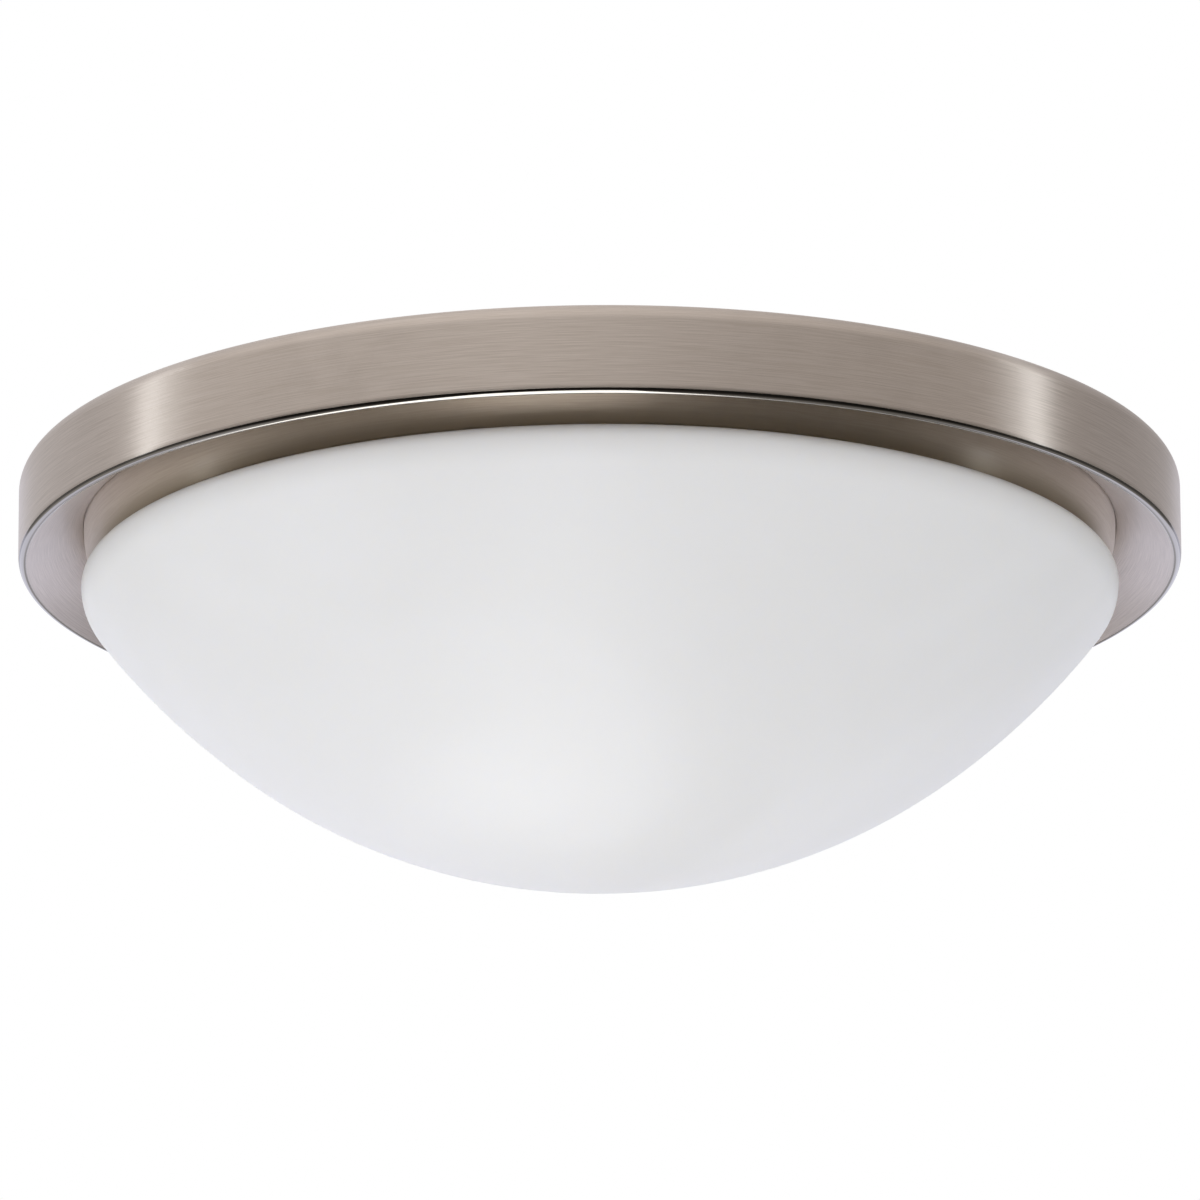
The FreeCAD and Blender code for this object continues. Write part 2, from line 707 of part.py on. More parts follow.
def socket_contact(side):
    body = make_body(f"socket_contact_{side}")
    top = "holder_base + contact_rise"
    strip(body, "XZ_Plane", [
        ("-contact_foot", "holder_base"), ("-contact_foot / 2", "holder_base"),
        ("contact_tip / 2", top), ("contact_tip", f"{top} - contact_wall"),
        ("contact_tip", top), ("contact_tip / 2", f"{top} + contact_wall"),
        ("-contact_foot / 2", "holder_base + contact_wall"),
        ("-contact_foot", "holder_base + contact_wall"),
    ], "contact_width")
    place_on_lamp_axis(body, side, "0")


def grouped_pads(name, plane, layers):
    """Fasteners of one kind: each layer is centres, offset, length and radius."""
    body = make_body(name)
    for centres, offset, length, radius in layers:
        sketch = make_sketch(body, plane, offset)
        draw_circles(sketch, centres, radius)
        pad(body, sketch, length)


def bracket_rivets():
    foot = f"{plate_under} - bracket_wall"
    grouped_pads("bracket_rivets", "XY_Plane", [
        (all_foot_rivets, f"{foot} - rivet_head_height", "rivet_head_height", "rivet_head"),
        (all_foot_rivets, foot, "bracket_wall + pan_wall", "rivet_radius"),
        (all_foot_rivets, "-pan_recess", "rivet_tail", "rivet_head - rivet_tail / 2"),
    ])


def socket_screws():
    turned = [(minus(x), y) for x, y in holder_screws]
    back = "holder_face + bracket_wall"
    head = "screw_head_height / 2"
    depth = "bracket_wall + holder_screw_depth - holder_screw_play"
    grouped_pads("socket_screws", "YZ_Plane", [
        (holder_screws, back, head, "holder_screw_head"),
        (holder_screws, f"{back} - ({depth})", depth, "holder_screw_radius"),
        (turned, f"-({back}) - {head}", head, "holder_screw_head"),
        (turned, minus(back), depth, "holder_screw_radius"),
    ])


def lamp(side):
    eyelet = make_body(f"lamp_{side}_eyelet")
    revolve(eyelet, [("0", "0"), ("eyelet_face", "0"), ("eyelet_radius", "eyelet_height / 2"),
                     ("eyelet_radius", "eyelet_height"), ("0", "eyelet_height")])

    insulator = make_body(f"lamp_{side}_insulator")
    rest = "cap_opening + cap_ledge"
    revolve(insulator, [("0", "eyelet_height"), ("eyelet_radius + cap_wall", "eyelet_height"),
                        (rest, "cap_floor"), ("0", "cap_floor")])

    cap = make_body(f"lamp_{side}_cap")
    outer = thread_corners("cap_root", "cap_start")
    revolve(cap, [
        ("cap_opening", "cap_floor"), (rest, "cap_floor"), *outer,
        ("cap_skirt", "cap_start + thread_turns * thread_pitch + cap_wall"), ("cap_skirt", "cap_length"),
        ("bulb_neck", "cap_length"), ("bulb_neck", "neck_seat"), ("cap_bore", "neck_seat"),
        ("cap_bore", "cap_start + cap_wall"), ("cap_opening", "cap_floor + 2 * cap_wall"),
    ])

    bulb = make_body(f"lamp_{side}_bulb")

    def cone(radius, neck):
        """Corner where the cone leaves the neck, and where it meets the round end."""
        meet = f"{radius} * cos(bulb_cone)"
        height = f"bulb_centre - {radius} * sin(bulb_cone)"
        return [(f"{neck}", f"{height} - ({meet} - {neck}) / tan(bulb_cone)"), (meet, height)]

    low, high = cone("bulb_radius", "bulb_neck")
    thin = "(bulb_radius - bulb_wall)"
    low_in, high_in = cone(thin, "(bulb_neck - bulb_wall)")
    revolve(bulb, [
        ("bulb_neck", "neck_seat"), (*low, "round", "bulb_blend"), (*high, "arc", "bulb_radius"),
        ("0", "bulb_centre + bulb_radius"), ("0", f"bulb_centre + {thin}", "arc", minus(thin)),
        high_in, (*low_in, "round", "bulb_blend + bulb_wall"), ("bulb_neck - bulb_wall", "neck_seat"),
    ])
    for body in (eyelet, insulator, cap, bulb):
        place_on_lamp_axis(body, side, lamp_start)


trim_ring()
pan()
insulation_pad()
wire_bushing()
ground_screw()
side_rivets()
glass_dome()
for number in (1, 2, 3):
    glass_spring(number)
for side in ("left", "right"):
    socket_bracket(side)
    socket_body(side)
    socket_shell(side)
    socket_contact(side)
    lamp(side)
bracket_rivets()
socket_screws()
doc.recompute()

for item in doc.Objects:
    if "Invalid" in item.State or "Error" in item.State:
        raise RuntimeError(f"{item.Name} failed: {item.State}")
for name, body in bodies.items():
    if body.Shape.isNull() or not body.Shape.isValid() or not body.Shape.Solids:
        raise RuntimeError(f"{name} has no sound solid")

os.makedirs("parts", exist_ok=True)
for name, body in bodies.items():
    body.Shape.exportStep(f"parts/{name}.step")
    box = body.Shape.BoundBox
    print(f"{name}: {len(body.Shape.Solids)} solids, {body.Shape.Volume:.0f} mm3, "
          f"z {box.ZMin:.2f} to {box.ZMax:.2f}, x {box.XMin:.1f} to {box.XMax:.1f}")
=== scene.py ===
import json
import math
import random

import bmesh
import bpy
from mathutils import Matrix, Vector, noise


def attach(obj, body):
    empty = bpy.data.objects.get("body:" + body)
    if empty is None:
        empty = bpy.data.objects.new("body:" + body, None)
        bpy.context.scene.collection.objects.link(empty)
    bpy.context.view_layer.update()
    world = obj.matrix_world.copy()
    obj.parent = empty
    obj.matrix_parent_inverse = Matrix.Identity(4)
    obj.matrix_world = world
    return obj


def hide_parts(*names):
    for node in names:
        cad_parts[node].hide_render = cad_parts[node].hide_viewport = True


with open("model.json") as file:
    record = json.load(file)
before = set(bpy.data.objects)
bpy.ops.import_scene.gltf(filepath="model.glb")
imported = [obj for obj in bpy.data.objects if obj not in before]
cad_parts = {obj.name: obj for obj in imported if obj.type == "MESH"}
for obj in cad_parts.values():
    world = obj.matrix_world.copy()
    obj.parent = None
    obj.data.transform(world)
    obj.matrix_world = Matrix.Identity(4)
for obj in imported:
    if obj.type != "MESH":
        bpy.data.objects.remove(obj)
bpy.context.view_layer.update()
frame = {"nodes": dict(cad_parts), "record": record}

scene = bpy.context.scene
mm = 0.001
print("frame loaded")


# a closed outline in the XZ plane from corners (radius, height, rounding) in millimetres; rounding may be
# left out, and fineness is the turn in radians that one segment of a rounded corner takes
def drawOutline(bm, corners, fineness=0.12):
    verts = [bm.verts.new((corner[0] * mm, 0, corner[1] * mm)) for corner in corners]
    for start, end in zip(verts, verts[1:] + verts[:1]):
        bm.edges.new((start, end))
    for vert, corner in zip(verts, corners):
        if len(corner) == 3:
            roundCorner(bm, vert, corner[2] * mm, fineness)


# the bevel's offset is the length of the round's tangent along each edge
def roundCorner(bm, vert, radius, fineness=0.12):
    one, other = (edge.other_vert(vert).co - vert.co for edge in vert.link_edges)
    turn = math.pi - one.angle(other)
    bmesh.ops.bevel(bm, geom=[vert], offset=radius * math.tan(turn / 2), offset_type="OFFSET",
                    affect="VERTICES", segments=max(2, round(turn / fineness)), profile=0.5, material=-1)


# spins everything in the bmesh about the light's axis
def turnAround(bm, steps):
    bmesh.ops.spin(bm, geom=bm.verts[:] + bm.edges[:], cent=(0, 0, 0), axis=(0, 0, 1), dvec=(0, 0, 0),
                   angle=2 * math.pi, steps=steps, use_merge=True)
    bmesh.ops.remove_doubles(bm, verts=bm.verts, dist=1e-7)
    bmesh.ops.recalc_face_normals(bm, faces=bm.faces)


# adds the bmesh to the scene as a piece that rides on a CAD body
def makePiece(name, bm, body, materials, replaced=(), sharp=35):
    mesh = bpy.data.meshes.new(name)
    bm.to_mesh(mesh)
    bm.free()
    mesh.shade_smooth()
    mesh.set_sharp_from_angle(angle=math.radians(sharp))
    for material in materials:
        mesh.materials.append(material)
    piece = bpy.data.objects.new(name, mesh)
    scene.collection.objects.link(piece)
    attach(piece, body)
    if replaced:
        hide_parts(*replaced)
    return piece


# adds a node; feeds are sockets to link or values to set
def put(tree, kind, feeds=None, **settings):
    node = tree.nodes.new("ShaderNode" + kind)
    for name, setting in settings.items():
        setattr(node, name, setting)
    for socket, feed in (feeds or {}).items():
        if isinstance(feed, bpy.types.NodeSocket):
            tree.links.new(feed, node.inputs[socket])
        else:
            node.inputs[socket].default_value = feed
    return node


def maths(tree, operation, first, second=0.0):
    return put(tree, "Math", {0: first, 1: second}, operation=operation).outputs[0]


# a value from one range to another, smoothed at the ends
def ramp(tree, value, low, high, start=0.0, end=1.0):
    feeds = {"Value": value, "From Min": low, "From Max": high, "To Min": start, "To Max": end}
    return put(tree, "MapRange", feeds, interpolation_type="SMOOTHSTEP").outputs[0]


def mixColors(tree, share, first, second, blend="MIX"):
    node = put(tree, "Mix", data_type="RGBA", blend_type=blend)
    for socket, feed in ((0, share), (6, first), (7, second)):
        if isinstance(feed, bpy.types.NodeSocket):
            tree.links.new(feed, node.inputs[socket])
        else:
            node.inputs[socket].default_value = feed if socket == 0 else (*feed, 1.0)
    return node.outputs[2]


# one of a finish's two tones or a blend of both, by the value of a texture
def twoTones(tree, value, finish):
    return mixColors(tree, ramp(tree, value, 0.3, 0.7), finish["dark"], finish["light"])


def bump(tree, height, depth, strength):
    return put(tree, "Bump", {"Height": height, "Distance": depth, "Strength": strength}).outputs[0]


def coordinates(tree):
    return put(tree, "TexCoord").outputs["Object"]


def startGroup(name, inputs, outputs):
    group = bpy.data.node_groups.new(name, "ShaderNodeTree")
    for label, default in inputs:
        socket = group.interface.new_socket(label, in_out="INPUT", socket_type="NodeSocketFloat")
        socket.default_value = default
    for label in outputs:
        group.interface.new_socket(label, in_out="OUTPUT", socket_type="NodeSocketFloat")
    return group, group.nodes.new("NodeGroupInput").outputs, group.nodes.new("NodeGroupOutput").inputs


def place(tree, group, **values):
    node = tree.nodes.new("ShaderNodeGroup")
    node.node_tree = group
    for name, number in values.items():
        node.inputs[name].default_value = number
    return node.outputs


# a material with one Principled shader; plain numbers go on its own sockets
def startMaterial(name, **values):
    material = bpy.data.materials.new(name)
    material.use_nodes = True
    tree = material.node_tree
    shader = tree.nodes["Principled BSDF"]
    for socket, number in values.items():
        shader.inputs[socket.replace("_", " ")].default_value = number
    return material, tree, shader.inputs


# streaks that run round the light's axis, on walls and on flat plates alike
def buildRoundBrushing():
    group, given, result = startGroup("roundBrushing", [("Width", 0.0004), ("Turn", 9.0)],
                                      ["Streaks", "Bands", "Long"])
    spot = put(group, "SeparateXYZ", {0: coordinates(group)}).outputs
    angle = maths(group, "ARCTAN2", spot[1], spot[0])
    radius = maths(group, "SQRT", maths(group, "ADD", maths(group, "MULTIPLY", spot[0], spot[0]),
                                        maths(group, "MULTIPLY", spot[1], spot[1])))
    across = maths(group, "SUBTRACT", spot[2], radius)
    east = maths(group, "MULTIPLY", maths(group, "COSINE", angle), given["Turn"])
    north = maths(group, "MULTIPLY", maths(group, "SINE", angle), given["Turn"])
    kinds = (("Streaks", 1, 1, 3.0), ("Bands", 9, 0.35, 2.0), ("Long", 3, 0.12, 2.0))
    for output, wide, lengthen, detail in kinds:
        step = maths(group, "DIVIDE", across, maths(group, "MULTIPLY", given["Width"], wide))
        point = put(group, "CombineXYZ", {0: maths(group, "MULTIPLY", east, lengthen),
                                          1: maths(group, "MULTIPLY", north, lengthen), 2: step}).outputs[0]
        cloud = put(group, "TexNoise", {"Vector": point, "Scale": 1.0, "Detail": detail, "Roughness": 0.6})
        group.links.new(cloud.outputs[0], result[output])
    return group


# rolled or drawn grain along one of the object's axes
def buildStraightGrain():
    group, given, result = startGroup(
        "straightGrain", [("Along X", 1.0), ("Along Y", 1.0), ("Along Z", 0.05), ("Scale", 1500.0)],
        ["Streaks", "Patches"])
    spot = put(group, "SeparateXYZ", {0: coordinates(group)}).outputs
    stretched = {}
    for number, axis in enumerate("XYZ"):
        scale = maths(group, "MULTIPLY", given[f"Along {axis}"], given["Scale"])
        stretched[number] = maths(group, "MULTIPLY", spot[number], scale)
    point = put(group, "CombineXYZ", stretched).outputs[0]
    cloud = put(group, "TexNoise", {"Vector": point, "Scale": 1.0, "Detail": 3.0, "Roughness": 0.65})
    group.links.new(cloud.outputs[0], result["Streaks"])
    patches = put(group, "TexNoise", {"Vector": coordinates(group), "Scale": 90.0, "Detail": 4.0})
    group.links.new(patches.outputs[0], result["Patches"])
    return group


# faint marks of handling: wiped cloudy patches with finer mottling inside
def buildHandling():
    group, given, result = startGroup("handling", [("Scale", 18.0), ("Amount", 0.5)], ["Mask"])
    broad = put(group, "TexNoise", {"Vector": coordinates(group), "Scale": given["Scale"], "Detail": 3.0,
                                    "Distortion": 0.6}).outputs[0]
    finer = put(group, "TexNoise", {"Vector": coordinates(group),
                                    "Scale": maths(group, "MULTIPLY", given["Scale"], 7.0),
                                    "Detail": 5.0}).outputs[0]
    cloudy = ramp(group, broad, 0.42, 0.7)
    mottled = ramp(group, finer, 0.3, 0.75)
    both = maths(group, "MULTIPLY", cloudy, mottled)
    group.links.new(maths(group, "MULTIPLY", both, given["Amount"]), result["Mask"])
    return group


# dust that lies on what faces up
def buildDust():
    group, given, result = startGroup("restingDust", [("Amount", 0.3)], ["Mask"])
    facing = put(group, "SeparateXYZ", {0: put(group, "NewGeometry").outputs["Normal"]}).outputs[2]
    grains = put(group, "TexNoise", {"Vector": coordinates(group), "Scale": 900.0, "Detail": 4.0}).outputs[0]
    drifts = put(group, "TexNoise", {"Vector": coordinates(group), "Scale": 14.0, "Detail": 3.0}).outputs[0]
    settled = maths(group, "MULTIPLY", ramp(group, facing, 0.35, 0.95), ramp(group, grains, 0.35, 0.7))
    settled = maths(group, "MULTIPLY", settled, ramp(group, drifts, 0.25, 0.75, 0.4, 1.0))
    group.links.new(maths(group, "MULTIPLY", settled, given["Amount"]), result["Mask"])
    return group


# small pits and specks of a moulded or fired surface
def buildSpecks():
    group, given, result = startGroup("specks", [("Scale", 1200.0), ("Amount", 1.0)], ["Mask", "Waves"])
    cells = put(group, "TexVoronoi", {"Vector": coordinates(group), "Scale": given["Scale"]})
    spots = ramp(group, cells.outputs["Distance"], 0.22, 0.05)
    choice = put(group, "TexNoise", {"Vector": coordinates(group), "Scale": 160.0}).outputs[0]
    spots = maths(group, "MULTIPLY", spots, ramp(group, choice, 0.5, 0.65))
    group.links.new(maths(group, "MULTIPLY", spots, given["Amount"]), result["Mask"])
    waves = put(group, "TexNoise", {"Vector": coordinates(group), "Scale": 55.0, "Detail": 2.0}).outputs[0]
    group.links.new(waves, result["Waves"])
    return group


roundBrushing = buildRoundBrushing()
straightGrain = buildStraightGrain()
handling = buildHandling()
restingDust = buildDust()
specks = buildSpecks()
print("shared effects built")

# the ring is brushed in plain lines; the pan has a finer satin grain, and its paler colours are a lit copy of
# the nickel, painted light, with painted shade darkening it toward its lower edge; rimSpan and reliefs are in
# metres
nickel = {
    "ring": {"light": (0.64, 0.575, 0.515), "dark": (0.475, 0.42, 0.365), "rough": (0.30, 0.40),
             "relief": 0.000018},
    # the pan's paler tones are painted light; rim and rimSpan paint shade toward its lower edge
    "pan": {"light": (0.90, 0.82, 0.72), "dark": (0.80, 0.71, 0.61), "rough": (0.38, 0.46),
            "relief": 0.000008, "rim": (0.45, 0.38, 0.29), "rimSpan": (-0.0285, -0.021)},
    # the bead's tones are a darker copy of the nickel, painted shade; grooveShade is painted shade in the
    # groove
    "bead": {"light": (0.47, 0.45, 0.42), "dark": (0.40, 0.38, 0.35), "rough": (0.05, 0.09),
             "relief": 0.000004, "grooveShade": (0.13, 0.12, 0.11), "wiped": (0.42, 0.39, 0.35)},
    "dust": (0.62, 0.60, 0.57), "brushWidth": 0.00024, "brushTurn": 10.0,
}


def brushedNickel(name, sheet):
    material, tree, shader = startMaterial(name, Metallic=1.0, Anisotropic=0.97,
                                           Anisotropic_Rotation=0.25, Coat_Roughness=0.12)
    brush = place(tree, roundBrushing, Width=nickel["brushWidth"], Turn=nickel["brushTurn"])
    marks = place(tree, handling, Scale=16.0, Amount=0.55)["Mask"]
    dust = place(tree, restingDust, Amount=0.35)["Mask"]
    tone = twoTones(tree, brush["Streaks"], sheet)
    tone = mixColors(tree, ramp(tree, brush["Bands"], 0.35, 0.7, 0.0, 0.12), tone, sheet["light"])
    # painted shade: the colour darkens by height toward the pan's lower edge
    if "rim" in sheet:
        height = put(tree, "SeparateXYZ", {0: coordinates(tree)}).outputs[2]
        tone = mixColors(tree, ramp(tree, height, *sheet["rimSpan"]), sheet["rim"], tone)
    tree.links.new(mixColors(tree, dust, tone, nickel["dust"]), shader["Base Color"])
    rough = ramp(tree, brush["Streaks"], 0.2, 0.8, *sheet["rough"])
    rough = maths(tree, "ADD", rough, maths(tree, "MULTIPLY", marks, 0.05))
    tree.links.new(maths(tree, "ADD", rough, maths(tree, "MULTIPLY", dust, 0.4)), shader["Roughness"])
    tree.links.new(maths(tree, "SUBTRACT", 0.1, maths(tree, "MULTIPLY", marks, 0.08)), shader["Coat Weight"])
    relief = maths(tree, "ADD", brush["Streaks"], maths(tree, "MULTIPLY", brush["Long"], 0.15))
    tree.links.new(bump(tree, relief, sheet["relief"], 0.5), shader["Normal"])
    tangent = put(tree, "Tangent", direction_type="RADIAL", axis="Z").outputs[0]
    tree.links.new(tangent, shader["Tangent"])
    return material


# the rolled bead keeps a buffed face; its colours are a darker copy of the ring's nickel, painted shade, and
# a band of painted shade darkens the groove along its upper edge
def buffedNickelPaintedShade():
    sheet = nickel["bead"]
    material, tree, shader = startMaterial("buffedNickelPaintedShade", Metallic=1.0)
    brush = place(tree, roundBrushing, Width=0.0009, Turn=6.0)
    marks = place(tree, handling, Scale=30.0, Amount=0.6)["Mask"]
    tone = mixColors(tree, brush["Bands"], sheet["dark"], sheet["light"])
    height = put(tree, "SeparateXYZ", {0: coordinates(tree)}).outputs[2]
    span = [(-ring["height"] + ring["beadRadius"] * share) * mm for share in ring["grooveShadeSpan"]]
    # painted shade: a dark band by height along the bead's upper edge
    tone = mixColors(tree, ramp(tree, height, *span), tone, sheet["grooveShade"])
    tone = mixColors(tree, maths(tree, "MULTIPLY", marks, 0.3), tone, sheet["wiped"])
    tree.links.new(tone, shader["Base Color"])
    rough = ramp(tree, brush["Streaks"], 0.2, 0.8, *sheet["rough"])
    tree.links.new(maths(tree, "ADD", rough, maths(tree, "MULTIPLY", marks, 0.05)), shader["Roughness"])
    tree.links.new(bump(tree, brush["Streaks"], sheet["relief"], 0.5), shader["Normal"])
    return material


opal = {"dark": (0.80, 0.795, 0.795), "light": (0.835, 0.83, 0.835), "seed": (0.6, 0.6, 0.6),
        "rough": (0.40, 0.48)}


def opalGlass():
    material, tree, shader = startMaterial(
        "opalGlass", Transmission_Weight=0.0, Metallic=0.0, IOR=1.5, Subsurface_Weight=0.85,
        Subsurface_Scale=0.006, Subsurface_Anisotropy=0.1)
    shader["Subsurface Radius"].default_value = (1.0, 0.95, 0.85)
    spot = coordinates(tree)
    flow = put(tree, "TexNoise", {"Vector": spot, "Scale": 9.0, "Detail": 2.0, "Distortion": 0.8}).outputs[0]
    fine = put(tree, "TexNoise", {"Vector": spot, "Scale": 1500.0, "Detail": 2.0}).outputs[0]
    seeds = place(tree, specks, Scale=500.0, Amount=0.5)
    marks = place(tree, handling, Scale=12.0, Amount=0.5)["Mask"]
    milk = twoTones(tree, flow, opal)
    milk = mixColors(tree, maths(tree, "MULTIPLY", seeds["Mask"], 0.12), milk, opal["seed"])
    tree.links.new(milk, shader["Base Color"])
    rough = ramp(tree, fine, 0.3, 0.7, *opal["rough"])
    tree.links.new(maths(tree, "SUBTRACT", rough, maths(tree, "MULTIPLY", marks, 0.08)), shader["Roughness"])
    relief = maths(tree, "ADD", maths(tree, "MULTIPLY", fine, 0.02), flow)
    tree.links.new(bump(tree, relief, 0.0004, 0.35), shader["Normal"])
    return material


fibre = {"dark": (0.74, 0.62, 0.30), "light": (0.88, 0.80, 0.52), "strand": (0.93, 0.89, 0.70),
         "dust": (0.7, 0.68, 0.62), "rough": (0.75, 0.95)}


def glassFibre():
    material, tree, shader = startMaterial("glassFibre", Metallic=0.0, Sheen_Weight=0.3, Sheen_Roughness=0.6)
    spot = coordinates(tree)
    swirl = put(tree, "TexNoise", {"Vector": spot, "Scale": 60.0, "Detail": 4.0,
                                   "Distortion": 2.5}).outputs[0]
    strands = put(tree, "TexNoise", {"Vector": spot, "Scale": 420.0, "Detail": 6.0, "Roughness": 0.75,
                                     "Distortion": 4.0}).outputs[0]
    tone = twoTones(tree, swirl, fibre)
    tone = mixColors(tree, ramp(tree, strands, 0.35, 0.68), tone, fibre["strand"])
    dust = place(tree, restingDust, Amount=0.3)["Mask"]
    tree.links.new(mixColors(tree, dust, tone, fibre["dust"]), shader["Base Color"])
    tree.links.new(ramp(tree, strands, 0.3, 0.7, *fibre["rough"]), shader["Roughness"])
    tree.links.new(bump(tree, maths(tree, "ADD", strands, swirl), 0.0006, 0.8), shader["Normal"])
    return material


nylon = {"dark": (0.80, 0.78, 0.70), "light": (0.86, 0.85, 0.79), "worn": (0.68, 0.65, 0.57),
         "rough": (0.38, 0.5)}


def mouldedNylon():
    material, tree, shader = startMaterial("mouldedNylon", Metallic=0.0, Subsurface_Weight=0.25,
                                           Subsurface_Scale=0.002)
    grain = place(tree, specks, Scale=2500.0, Amount=0.6)
    marks = place(tree, handling, Scale=60.0, Amount=0.6)["Mask"]
    tone = mixColors(tree, grain["Waves"], nylon["dark"], nylon["light"])
    tree.links.new(mixColors(tree, marks, tone, nylon["worn"]), shader["Base Color"])
    tree.links.new(ramp(tree, grain["Waves"], 0.3, 0.7, *nylon["rough"]), shader["Roughness"])
    tree.links.new(bump(tree, grain["Mask"], 0.00005, 0.5), shader["Normal"])
    return material


green = {"dark": (0.035, 0.25, 0.07), "light": (0.07, 0.40, 0.14), "worn": (0.42, 0.47, 0.36),
         "rough": (0.28, 0.42)}


def greenPlating():
    material, tree, shader = startMaterial("greenPlating", Metallic=0.85)
    grain = place(tree, straightGrain, Scale=2500.0)
    marks = place(tree, handling, Scale=110.0, Amount=0.9)["Mask"]
    tone = twoTones(tree, grain["Patches"], green)
    tree.links.new(mixColors(tree, marks, tone, green["worn"]), shader["Base Color"])
    tree.links.new(ramp(tree, grain["Streaks"], 0.3, 0.7, *green["rough"]), shader["Roughness"])
    tree.links.new(bump(tree, grain["Streaks"], 0.00002, 0.5), shader["Normal"])
    return material


zinc = {"dark": (0.50, 0.515, 0.53), "light": (0.66, 0.67, 0.68), "worn": (0.42, 0.42, 0.41),
        "dust": (0.6, 0.58, 0.55), "rough": (0.3, 0.46)}


# zinc crystals, seen as flat flakes of slightly different grey
def zincPlating():
    material, tree, shader = startMaterial("zincPlating", Metallic=1.0)
    flakes = put(tree, "TexVoronoi", {"Vector": coordinates(tree), "Scale": 420.0, "Randomness": 1.0})
    flake = put(tree, "SeparateColor", {0: flakes.outputs["Color"]}).outputs[0]
    grain = place(tree, straightGrain, Scale=1800.0)
    marks = place(tree, handling, Scale=45.0, Amount=0.7)["Mask"]
    dust = place(tree, restingDust, Amount=0.25)["Mask"]
    tone = mixColors(tree, flake, zinc["dark"], zinc["light"])
    tone = mixColors(tree, marks, tone, zinc["worn"])
    tree.links.new(mixColors(tree, dust, tone, zinc["dust"]), shader["Base Color"])
    rough = ramp(tree, flake, 0.0, 1.0, *zinc["rough"])
    tree.links.new(maths(tree, "ADD", rough, maths(tree, "MULTIPLY", marks, 0.15)), shader["Roughness"])
    tree.links.new(bump(tree, grain["Streaks"], 0.00001, 0.5), shader["Normal"])
    return material


spring = {"dark": (0.42, 0.43, 0.45), "light": (0.56, 0.57, 0.58), "temper": (0.40, 0.33, 0.24),
          "rough": (0.22, 0.36)}


def springStrip():
    material, tree, shader = startMaterial("springStrip", Metallic=1.0, Anisotropic=0.4)
    grain = place(tree, straightGrain, Scale=2600.0)
    tint = ramp(tree, grain["Patches"], 0.4, 0.72)
    tone = twoTones(tree, grain["Streaks"], spring)
    tone = mixColors(tree, maths(tree, "MULTIPLY", tint, 0.35), tone, spring["temper"])
    tree.links.new(tone, shader["Base Color"])
    tree.links.new(ramp(tree, grain["Streaks"], 0.3, 0.7, *spring["rough"]), shader["Roughness"])
    tree.links.new(bump(tree, grain["Streaks"], 0.00001, 0.5), shader["Normal"])
    return material


porcelain = {"dark": (0.82, 0.80, 0.755), "light": (0.88, 0.87, 0.84), "speck": (0.45, 0.38, 0.3),
             "worn": (0.70, 0.67, 0.62), "rough": (0.16, 0.26)}


def glazedPorcelain():
    material, tree, shader = startMaterial("glazedPorcelain", Metallic=0.0, Coat_Roughness=0.05, Coat_IOR=1.5,
                                           Subsurface_Weight=0.15, Subsurface_Scale=0.002)
    grain = place(tree, specks, Scale=900.0, Amount=1.0)
    marks = place(tree, handling, Scale=40.0, Amount=0.6)["Mask"]
    tone = mixColors(tree, grain["Waves"], porcelain["dark"], porcelain["light"])
    tone = mixColors(tree, maths(tree, "MULTIPLY", grain["Mask"], 0.5), tone, porcelain["speck"])
    tone = mixColors(tree, maths(tree, "MULTIPLY", marks, 0.4), tone, porcelain["worn"])
    tree.links.new(tone, shader["Base Color"])
    tree.links.new(ramp(tree, grain["Waves"], 0.3, 0.7, *porcelain["rough"]), shader["Roughness"])
    tree.links.new(maths(tree, "SUBTRACT", 0.8, marks), shader["Coat Weight"])
    tree.links.new(bump(tree, grain["Waves"], 0.0005, 0.3), shader["Normal"])
    return material


brass = {"dark": (0.66, 0.49, 0.22), "light": (0.80, 0.62, 0.32), "worn": (0.40, 0.29, 0.15),
         "rough": (0.2, 0.3)}


def pressedBrass():
    material, tree, shader = startMaterial("pressedBrass", Metallic=1.0)
    grain = place(tree, straightGrain, Scale=2200.0)
    marks = place(tree, handling, Scale=70.0, Amount=1.0)["Mask"]
    tone = twoTones(tree, grain["Streaks"], brass)
    tree.links.new(mixColors(tree, marks, tone, brass["worn"]), shader["Base Color"])
    rough = ramp(tree, grain["Streaks"], 0.3, 0.7, *brass["rough"])
    tree.links.new(maths(tree, "ADD", rough, maths(tree, "MULTIPLY", marks, 0.2)), shader["Roughness"])
    tree.links.new(bump(tree, grain["Streaks"], 0.00001, 0.5), shader["Normal"])
    return material


frosted = {"dark": (0.86, 0.86, 0.85), "light": (0.93, 0.93, 0.92), "worn": (0.78, 0.77, 0.74),
           "rough": (0.42, 0.56)}


def frostedGlass():
    material, tree, shader = startMaterial(
        "frostedGlass", Metallic=0.0, Transmission_Weight=0.45, IOR=1.48, Subsurface_Weight=0.4,
        Subsurface_Scale=0.003)
    frost = put(tree, "TexNoise", {"Vector": coordinates(tree), "Scale": 1800.0, "Detail": 3.0}).outputs[0]
    clouds = put(tree, "TexNoise", {"Vector": coordinates(tree), "Scale": 35.0, "Detail": 3.0}).outputs[0]
    marks = place(tree, handling, Scale=30.0, Amount=0.4)["Mask"]
    tone = mixColors(tree, clouds, frosted["dark"], frosted["light"])
    tree.links.new(mixColors(tree, marks, tone, frosted["worn"]), shader["Base Color"])
    tree.links.new(ramp(tree, frost, 0.3, 0.7, *frosted["rough"]), shader["Roughness"])
    tree.links.new(bump(tree, frost, 0.00003, 0.5), shader["Normal"])
    return material


cap = {"dark": (0.60, 0.61, 0.62), "light": (0.76, 0.77, 0.775), "worn": (0.52, 0.51, 0.49),
       "rough": (0.2, 0.32)}


